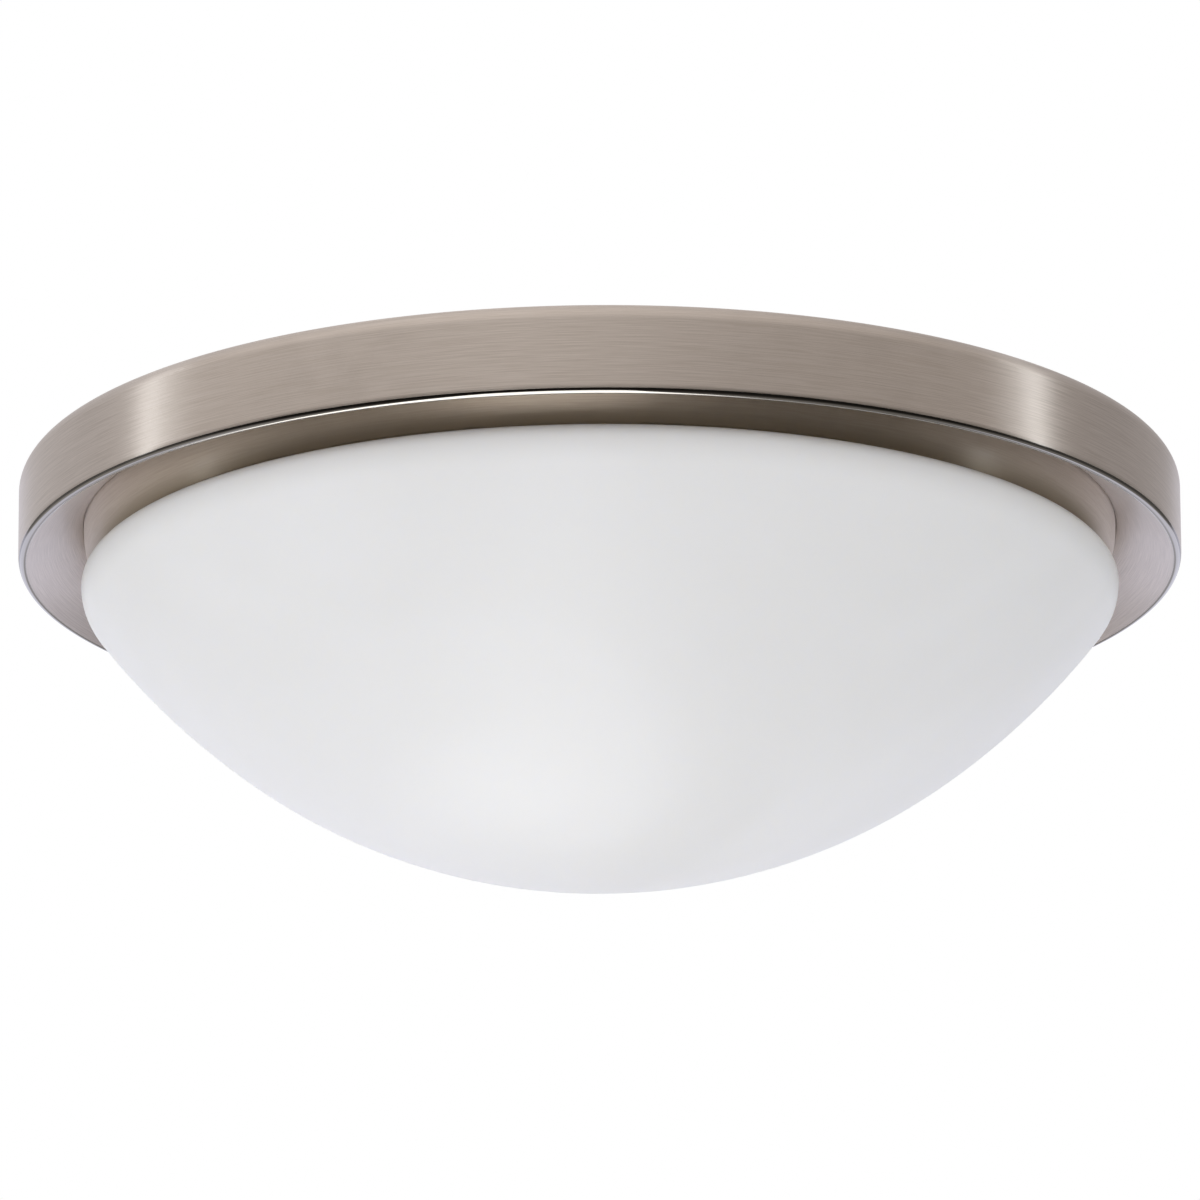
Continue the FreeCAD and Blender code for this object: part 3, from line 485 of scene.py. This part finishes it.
# rolled sheet cap: fine rings round the lamp's own axis, which lies along X
def rolledCap():
    material, tree, shader = startMaterial("rolledCap", Metallic=1.0)
    grain = place(tree, straightGrain, **{"Along X": 1.0, "Along Y": 0.04, "Along Z": 0.04, "Scale": 3000.0})
    marks = place(tree, handling, Scale=80.0, Amount=0.8)["Mask"]
    tone = twoTones(tree, grain["Streaks"], cap)
    tree.links.new(mixColors(tree, marks, tone, cap["worn"]), shader["Base Color"])
    tree.links.new(ramp(tree, grain["Streaks"], 0.3, 0.7, *cap["rough"]), shader["Roughness"])
    tree.links.new(bump(tree, grain["Streaks"], 0.00001, 0.5), shader["Normal"])
    return material


black = {"dark": (0.012, 0.011, 0.015), "light": (0.035, 0.032, 0.04), "speck": (0.12, 0.11, 0.1),
         "rough": (0.09, 0.2)}


def fusedBlack():
    material, tree, shader = startMaterial("fusedBlack", Metallic=0.0, IOR=1.55)
    grain = place(tree, specks, Scale=1500.0, Amount=0.8)
    tone = mixColors(tree, grain["Waves"], black["dark"], black["light"])
    tone = mixColors(tree, maths(tree, "MULTIPLY", grain["Mask"], 0.4), tone, black["speck"])
    tree.links.new(tone, shader["Base Color"])
    tree.links.new(ramp(tree, grain["Waves"], 0.3, 0.7, *black["rough"]), shader["Roughness"])
    tree.links.new(bump(tree, grain["Waves"], 0.0003, 0.4), shader["Normal"])
    return material


finishes = {
    "brushed_nickel": brushedNickel("brushedNickel", nickel["ring"]),
    "glass_fibre": glassFibre(),
    "nylon": mouldedNylon(),
    "green_screw": greenPlating(),
    "zinc_steel": zincPlating(),
    "opal_glass": opalGlass(),
    "spring_steel": springStrip(),
    "porcelain": glazedPorcelain(),
    "brass": pressedBrass(),
    "frosted_glass": frostedGlass(),
    "lamp_cap": rolledCap(),
    "black_insulator": fusedBlack(),
}
satin = brushedNickel("satinNickelPaintedLightShade", nickel["pan"])

for part in frame["record"]["subparts"]:
    mesh = frame["nodes"][part["node"]].data
    mesh.materials.clear()
    mesh.materials.append(satin if part["node"] == "pan" else finishes[part["material_slot"]])
print("finishes on the CAD nodes")

# the ring is one sheet; sizes in millimetres and degrees, the bead's limits in shares of its radius
ring = {
    "radius": 165.0, "height": 25.6, "wall": 0.9, "topRounding": 4.9, "lip": 8.5, "beadRadius": 2.1,
    # grooveShadeSpan places the bead's band of painted shade
    "beadTop": 0.43, "beadInset": 1.05, "grooveShadeSpan": (0.11, 0.22), "bevelAngle": 34.7, "bevelBend": 1.6,
    "flangeRadius": 146.5, "flangeDepth": 8.0, "fineness": 0.09, "steps": 288,
}
beadPaintedShade = buffedNickelPaintedShade()


def trimRing():
    slope = math.radians(ring["bevelAngle"])
    outside, wall = ring["radius"], ring["wall"]
    corner = (-(ring["height"] - ring["beadRadius"]) - ring["beadRadius"] * math.cos(slope)
              - ring["beadRadius"] * (1 + math.sin(slope)) * math.tan(slope))

    # height of the bevel's sheet at an inset from the band
    def bevelHeight(inset, raised=0.0):
        return corner + raised / math.cos(slope) + inset * math.tan(slope)

    run = outside - ring["flangeRadius"]
    bm = bmesh.new()
    drawOutline(bm, [
        (outside - ring["lip"], 0),
        (outside, 0, ring["topRounding"]),
        (outside, corner, ring["beadRadius"]),
        (ring["flangeRadius"], bevelHeight(run), ring["bevelBend"]),
        (ring["flangeRadius"], -ring["flangeDepth"]),
        (ring["flangeRadius"] + wall, -ring["flangeDepth"]),
        (ring["flangeRadius"] + wall, bevelHeight(run - wall, wall), ring["bevelBend"] - wall),
        (outside - wall, bevelHeight(wall, wall), ring["beadRadius"] - wall),
        (outside - wall, -wall, ring["topRounding"] - wall),
        (outside - ring["lip"], -wall),
    ], fineness=ring["fineness"])
    turnAround(bm, ring["steps"])
    beadTop = (-ring["height"] + ring["beadRadius"] * ring["beadTop"]) * mm
    beadInside = (outside - ring["beadRadius"] * ring["beadInset"]) * mm
    for face in bm.faces:
        middle = face.calc_center_median()
        if middle.z < beadTop and math.hypot(middle.x, middle.y) > beadInside and face.normal.z < 0.3:
            face.material_index = 1
    makePiece("ringBand", bm, "fixture", [finishes["brushed_nickel"], beadPaintedShade],
              ["trim_ring"])


trimRing()
print("trim ring turned")

# the bowl is three arcs that run into a neck; sizes in millimetres and degrees
bowl = {
    "radius": 147.1, "widest": -32.0, "wall": 3.5, "crownRadius": 173.1, "crownAngle": 37.5,
    "sideRadius": 212.4, "shoulderRadius": 13.2, "seatRadius": 3.7, "neckRadius": 138.8, "neckTop": -22.2,
    "neckFillet": 1.2, "neckEdge": 1.0, "neckRoot": 3.0,
    "lugRadius": 142.0, "lugSpan": 20.0, "lugFoot": -26.8, "lugHeight": 3.4, "lugAzimuth": 73.0,
    "crownSteps": 40, "sideSteps": 12, "shoulderSteps": 16, "seatSteps": 10, "lugSteps": 24, "steps": 256,
}


# sweeps a point through an arc in the XZ plane and gives back its last place
def spinPoint(bm, point, centre, angle, steps):
    turned = bmesh.ops.spin(bm, geom=[point], cent=(centre[0] * mm, 0, centre[1] * mm), axis=(0, -1, 0),
                            angle=angle, steps=steps)
    return turned["geom_last"][0]


# one face of the bowl: crown, side and shoulder arcs, from the axis out to the widest place
def spinSkin(bm, inset):
    crown = bowl["crownRadius"] - inset
    crownTurn = math.radians(bowl["crownAngle"])
    shoulder = bowl["radius"] - bowl["shoulderRadius"]
    spread = bowl["sideRadius"] - bowl["crownRadius"]
    sideTurn = math.asin((shoulder + spread * math.sin(crownTurn))
                         / (bowl["sideRadius"] - bowl["shoulderRadius"]))
    sideX = -spread * math.sin(crownTurn)
    sideZ = bowl["widest"] + (bowl["sideRadius"] - bowl["shoulderRadius"]) * math.cos(sideTurn)
    crownZ = sideZ - spread * math.cos(crownTurn)
    last = bm.verts.new((0, 0, (crownZ - crown) * mm))
    arcs = (((0, crownZ), crownTurn, bowl["crownSteps"]),
            ((sideX, sideZ), sideTurn - crownTurn, bowl["sideSteps"]),
            ((shoulder, bowl["widest"]), math.pi / 2 - sideTurn, bowl["shoulderSteps"]))
    for centre, angle, steps in arcs:
        last = spinPoint(bm, last, centre, angle, steps)
    return last


def glassBowl():
    bm = bmesh.new()
    outer = spinSkin(bm, 0)
    seat = bowl["widest"] + bowl["seatRadius"]
    seatCentre = (bowl["radius"] - bowl["seatRadius"], bowl["widest"])
    last = spinPoint(bm, outer, seatCentre, math.pi / 2, bowl["seatSteps"])
    inner = spinSkin(bm, bowl["wall"])
    inside = bowl["neckRadius"] - bowl["wall"]
    rounded = []
    for radius, height, rounding in ((bowl["neckRadius"], seat, bowl["neckFillet"]),
                                     (bowl["neckRadius"], bowl["neckTop"], bowl["neckEdge"]),
                                     (inside, bowl["neckTop"], bowl["neckEdge"]),
                                     (inside, bowl["widest"], bowl["neckRoot"])):
        corner = bm.verts.new((radius * mm, 0, height * mm))
        bm.edges.new((last, corner))
        rounded.append((corner, rounding))
        last = corner
    bm.edges.new((last, inner))
    for corner, rounding in rounded:
        roundCorner(bm, corner, rounding * mm)
    turnAround(bm, bowl["steps"])
    makePiece("opalBowl", bm, "glass", [finishes["opal_glass"]], ["glass_dome"], sharp=50)


# three moulded lugs on the neck, ends softened where the mould closed
def glassLugs():
    bm = bmesh.new()
    root = bowl["neckRadius"] - bowl["wall"] / 2
    top = bowl["lugFoot"] + bowl["lugHeight"]
    drawOutline(bm, [(root, bowl["lugFoot"]), (bowl["lugRadius"], bowl["lugFoot"], bowl["neckEdge"] / 2),
                     (bowl["lugRadius"], top, bowl["neckEdge"]), (root, top)])
    bmesh.ops.contextual_create(bm, geom=bm.edges[:])
    section = bm.verts[:] + bm.edges[:] + bm.faces[:]
    start = math.radians(bowl["lugAzimuth"] - bowl["lugSpan"] / 2)
    bmesh.ops.rotate(bm, verts=bm.verts, cent=(0, 0, 0), matrix=Matrix.Rotation(start, 3, "Z"))
    bmesh.ops.spin(bm, geom=section, cent=(0, 0, 0), axis=(0, 0, 1), dvec=(0, 0, 0),
                   angle=math.radians(bowl["lugSpan"]), steps=bowl["lugSteps"])
    bmesh.ops.recalc_face_normals(bm, faces=bm.faces)
    first = bm.verts[:] + bm.edges[:] + bm.faces[:]
    for turn in (120, 240):
        copied = bmesh.ops.duplicate(bm, geom=first)["geom"]
        bmesh.ops.rotate(bm, verts=[item for item in copied if isinstance(item, bmesh.types.BMVert)],
                         cent=(0, 0, 0), matrix=Matrix.Rotation(math.radians(turn), 3, "Z"))
    makePiece("bowlLugs", bm, "glass", [finishes["opal_glass"]])


glassBowl()
glassLugs()
print("glass bowl turned")

# the fibre pad fills the recess between the pan and the ceiling; sizes in millimetres, lump scales per metre,
# and a strand's bend is a share of its length
mat = {
    "inner": 55.8, "outer": 144.2, "low": -5.9, "high": -1.0, "lowEdge": 0.8, "highEdge": 1.5,
    "steps": 220, "broadEdge": 30.0, "cuts": 40, "lump": 0.45, "underLump": 0.1, "lumpScale": 45,
    "fluffScale": 400, "lumpShare": 0.5, "fluffShare": 0.25, "seed": 7, "strands": 260,
    "strandRadius": 0.12, "strandReach": (61.0, 137.0), "strandLength": (8.0, 20.0), "strandBend": 0.06,
    "strandSteps": 6,
}


def fibreMat():
    random.seed(mat["seed"])
    bm = bmesh.new()
    drawOutline(bm, [(mat["inner"], mat["low"], mat["lowEdge"]), (mat["outer"], mat["low"], mat["lowEdge"]),
                     (mat["outer"], mat["high"], mat["highEdge"]),
                     (mat["inner"], mat["high"], mat["highEdge"])])
    broad = [edge for edge in bm.edges if edge.calc_length() > mat["broadEdge"] * mm]
    bmesh.ops.subdivide_edges(bm, edges=broad, cuts=mat["cuts"])
    turnAround(bm, mat["steps"])
    for vert in bm.verts:
        lump = noise.fractal(vert.co * mat["lumpScale"], 1.0, 2.0, 3) * mat["lumpShare"]
        lump += noise.noise(vert.co * mat["fluffScale"]) * mat["fluffShare"]
        amount = mat["lump"] if vert.normal.z > -0.3 else mat["underLump"]
        vert.co += vert.normal * max(-1.0, min(1.0, lump)) * amount * mm
    # loose strands pressed into the top face
    loose = bmesh.new()
    top = mat["high"] + mat["strandRadius"]
    for number in range(mat["strands"]):
        turn = random.uniform(0, 2 * math.pi)
        reach = random.uniform(*mat["strandReach"])
        middle = Vector((math.cos(turn) * reach, math.sin(turn) * reach, top)) * mm
        strand(loose, middle, random.uniform(0, math.pi), random.uniform(*mat["strandLength"]) * mm)
    strands = bpy.data.meshes.new("strands")
    loose.to_mesh(strands)
    loose.free()
    bm.from_mesh(strands)
    piece = makePiece("fibreMat", bm, "fixture", [finishes["glass_fibre"]],
                      ["insulation_pad"], sharp=60)


# one bent strand: a thin three-sided tube swept sideways
def strand(bm, middle, heading, length):
    radius, steps = mat["strandRadius"] * mm, mat["strandSteps"]
    section = bmesh.ops.create_circle(bm, segments=3, radius=radius, cap_ends=False)["verts"]
    bmesh.ops.rotate(bm, verts=section, cent=(0, 0, 0), matrix=Matrix.Rotation(math.pi / 2, 3, "Y"))
    bmesh.ops.translate(bm, verts=section, vec=(-length / 2, 0, 0))
    edges = list({edge for vert in section for edge in vert.link_edges})
    whole = list(section)
    bend = random.uniform(-mat["strandBend"], mat["strandBend"]) * length
    for step in range(steps):
        fresh = bmesh.ops.extrude_edge_only(bm, edges=edges)["geom"]
        edges = [item for item in fresh if isinstance(item, bmesh.types.BMEdge)
                 and all(vert not in whole for vert in item.verts)]
        tips = [item for item in fresh if isinstance(item, bmesh.types.BMVert)]
        bmesh.ops.translate(bm, verts=tips, vec=(length / steps, bend * (step - (steps - 1) / 2), 0))
        whole += tips
    bmesh.ops.rotate(bm, verts=whole, cent=(0, 0, 0), matrix=Matrix.Rotation(heading, 3, "Z"))
    bmesh.ops.translate(bm, verts=whole, vec=middle)


fibreMat()
print("fibre pad made")

# spans and card limits are where one colour of the room gives way to the next, as parts of the unit
# direction; heights, sizes and places in metres
studio = {
    "upperLeft": (1.21, 1.16, 1.15), "upperRight": (0.84, 0.79, 0.77), "upperSpan": (-0.4, 0.9),
    "rear": (0.66, 0.67, 0.70), "rearSpan": (-0.2, 0.5),
    "lowLeft": (0.40, 0.385, 0.37), "lowRight": (0.24, 0.23, 0.22), "dim": (0.05, 0.045, 0.04),
    "lowSpan": (-0.3, 0.3), "horizon": (0.02, 0.2),
    "card": (0.94, 0.95, 1.11), "cardSide": (0.56, 0.48), "cardTop": (0.26, 0.1), "cardFoot": (-0.38, -0.02),
    "cardSlope": 1.5, "cardDepth": (0.2, 0.6),
    "ambient": 0.78, "ambientSlope": (-0.06, -0.37, 0.42),
    "floorHeight": -2.44, "floorSize": 9.0, "floorColor": (0.86, 0.86, 0.86), "floorGlow": 0.8,
    "lampDistance": 2.2, "lampAim": (0, 0, -0.04),
}


# metal sees a dark studio with soft light overhead and a pale card behind; everything else sees a soft light,
# strongest from above and in front
def buildWorld():
    world = bpy.data.worlds.new("studio")
    scene.world = world
    world.use_nodes = True
    tree = world.node_tree
    sky = tree.nodes["Background"]
    spot = put(tree, "TexCoord").outputs["Generated"]
    way = put(tree, "SeparateXYZ", {0: spot}).outputs
    rays = put(tree, "LightPath").outputs
    across = ramp(tree, way[0], *studio["upperSpan"])
    above = mixColors(tree, across, studio["upperLeft"], studio["upperRight"])
    rear = mixColors(tree, 1.0, above, studio["rear"], "MULTIPLY")
    above = mixColors(tree, ramp(tree, way[1], *studio["rearSpan"]), above, rear)
    low = mixColors(tree, ramp(tree, way[0], *studio["lowSpan"]), studio["lowLeft"], studio["lowRight"])
    dark = mixColors(tree, ramp(tree, way[1], *studio["lowSpan"]), studio["dim"], low)
    seen = mixColors(tree, ramp(tree, way[2], *studio["horizon"]), dark, above)
    aside = maths(tree, "ABSOLUTE", way[0])
    foot = maths(tree, "ADD", way[2], maths(tree, "MULTIPLY", aside, studio["cardSlope"]))
    card = ramp(tree, aside, *studio["cardSide"])
    card = maths(tree, "MULTIPLY", card, ramp(tree, foot, *studio["cardFoot"]))
    card = maths(tree, "MULTIPLY", card, ramp(tree, way[2], *studio["cardTop"]))
    card = maths(tree, "MULTIPLY", card, ramp(tree, way[1], *studio["cardDepth"]))
    seen = mixColors(tree, card, seen, studio["card"])
    tilt = put(tree, "VectorMath", {0: spot, 1: studio["ambientSlope"]}, operation="DOT_PRODUCT")
    level = maths(tree, "ADD", tilt.outputs["Value"], studio["ambient"])
    soft = put(tree, "CombineColor", {0: level, 1: level, 2: level}).outputs[0]
    other = mixColors(tree, rays["Is Glossy Ray"], soft, seen)
    clear = maths(tree, "MAXIMUM", rays["Is Camera Ray"], rays["Is Transmission Ray"])
    tree.links.new(mixColors(tree, clear, other, (1, 1, 1)), sky.inputs["Color"])
    sky.inputs["Strength"].default_value = 1.0


# azimuth is counted from the camera's side, to the right; spin turns the lamp about the line to its aim
def addSoftbox(name, azimuth, elevation, width, height, brightness, color=(1, 1, 1), spin=0):
    lamp = bpy.data.lights.new(name, "AREA")
    lamp.shape = "RECTANGLE"
    lamp.size, lamp.size_y = width, height
    lamp.energy = brightness * math.pi * width * height
    lamp.color = color
    holder = bpy.data.objects.new(name, lamp)
    scene.collection.objects.link(holder)
    holder.visible_camera = False
    turn, tilt = math.radians(azimuth), math.radians(elevation)
    away = Vector((math.sin(turn) * math.cos(tilt), -math.cos(turn) * math.cos(tilt), math.sin(tilt)))
    holder.location = Vector(studio["lampAim"]) + away * studio["lampDistance"]
    facing = away.to_track_quat("Z", "Y").to_matrix() @ Matrix.Rotation(math.radians(spin), 3, "Z")
    holder.rotation_euler = facing.to_euler()


softboxes = [
    {"name": "leftSoftbox", "azimuth": -94.9, "elevation": 12, "width": 0.155, "height": 1.8,
     "brightness": 2.8, "color": (0.93, 1.0, 1.07)},
    {"name": "rightSoftbox", "azimuth": 91, "elevation": 12, "width": 0.165, "height": 1.8,
     "brightness": 3.1, "color": (0.93, 1.0, 1.07)},
    {"name": "lowSoftbox", "azimuth": -152, "elevation": -75, "width": 1.0, "height": 3.6,
     "brightness": 2.6, "spin": 28},
]


# the floor shows white to the camera, keeps a faint shadow, and lets a view from beneath through
def buildFloor():
    mesh = bpy.data.meshes.new("floor")
    bm = bmesh.new()
    bmesh.ops.create_grid(bm, x_segments=1, y_segments=1, size=studio["floorSize"])
    bmesh.ops.translate(bm, verts=bm.verts, vec=(0, 0, studio["floorHeight"]))
    bm.to_mesh(mesh)
    bm.free()
    floor = bpy.data.objects.new("floor", mesh)
    scene.collection.objects.link(floor)
    material = bpy.data.materials.new("paleFloor")
    material.use_nodes = True
    tree = material.node_tree
    tree.nodes.clear()
    paint = put(tree, "BsdfDiffuse", {"Color": (*studio["floorColor"], 1)}).outputs[0]
    glow = put(tree, "Emission", {"Color": (1, 1, 1, 1), "Strength": 1.0}).outputs[0]
    rays = put(tree, "LightPath").outputs
    share = maths(tree, "MULTIPLY", rays["Is Camera Ray"], studio["floorGlow"])
    pale = put(tree, "MixShader", {0: share, 1: paint, 2: glow}).outputs[0]
    clear = put(tree, "BsdfTransparent").outputs[0]
    hidden = maths(tree, "MAXIMUM", put(tree, "NewGeometry").outputs["Backfacing"],
                   maths(tree, "SUBTRACT", 1.0, rays["Is Camera Ray"]))
    shown = put(tree, "MixShader", {0: hidden, 1: pale, 2: clear}).outputs[0]
    put(tree, "OutputMaterial", {"Surface": shown})
    mesh.materials.append(material)


# distances in metres, angles in degrees, lens and sensor in millimetres
view = {
    "distance": 3.044, "elevation": -17.02, "height": -0.0239, "drop": 0.0103, "lens": 321.5, "roll": -0.265,
    "sensor": 36, "near": 0.05, "far": 60,
}


def placeCamera():
    tilt = math.radians(view["elevation"])
    lookFrom = Vector((0, -math.cos(tilt), math.sin(tilt)))
    up = Vector((0, math.sin(tilt), math.cos(tilt)))
    centre = Vector((0, 0, view["height"]))
    camera = bpy.data.objects.new("camera", bpy.data.cameras.new("camera"))
    scene.collection.objects.link(camera)
    camera.location = centre + lookFrom * view["distance"]
    aim = (centre - up * view["drop"] - camera.location).to_track_quat("-Z", "Y").to_matrix()
    aim = aim @ Matrix.Rotation(math.radians(view["roll"]), 3, "Z")
    camera.rotation_euler = aim.to_euler()
    camera.data.lens = view["lens"]
    camera.data.sensor_width = view["sensor"]
    camera.data.clip_start, camera.data.clip_end = view["near"], view["far"]
    scene.camera = camera


buildWorld()
for softbox in softboxes:
    addSoftbox(**softbox)
buildFloor()
placeCamera()
scene.view_settings.view_transform = "Standard"
print("studio ready")
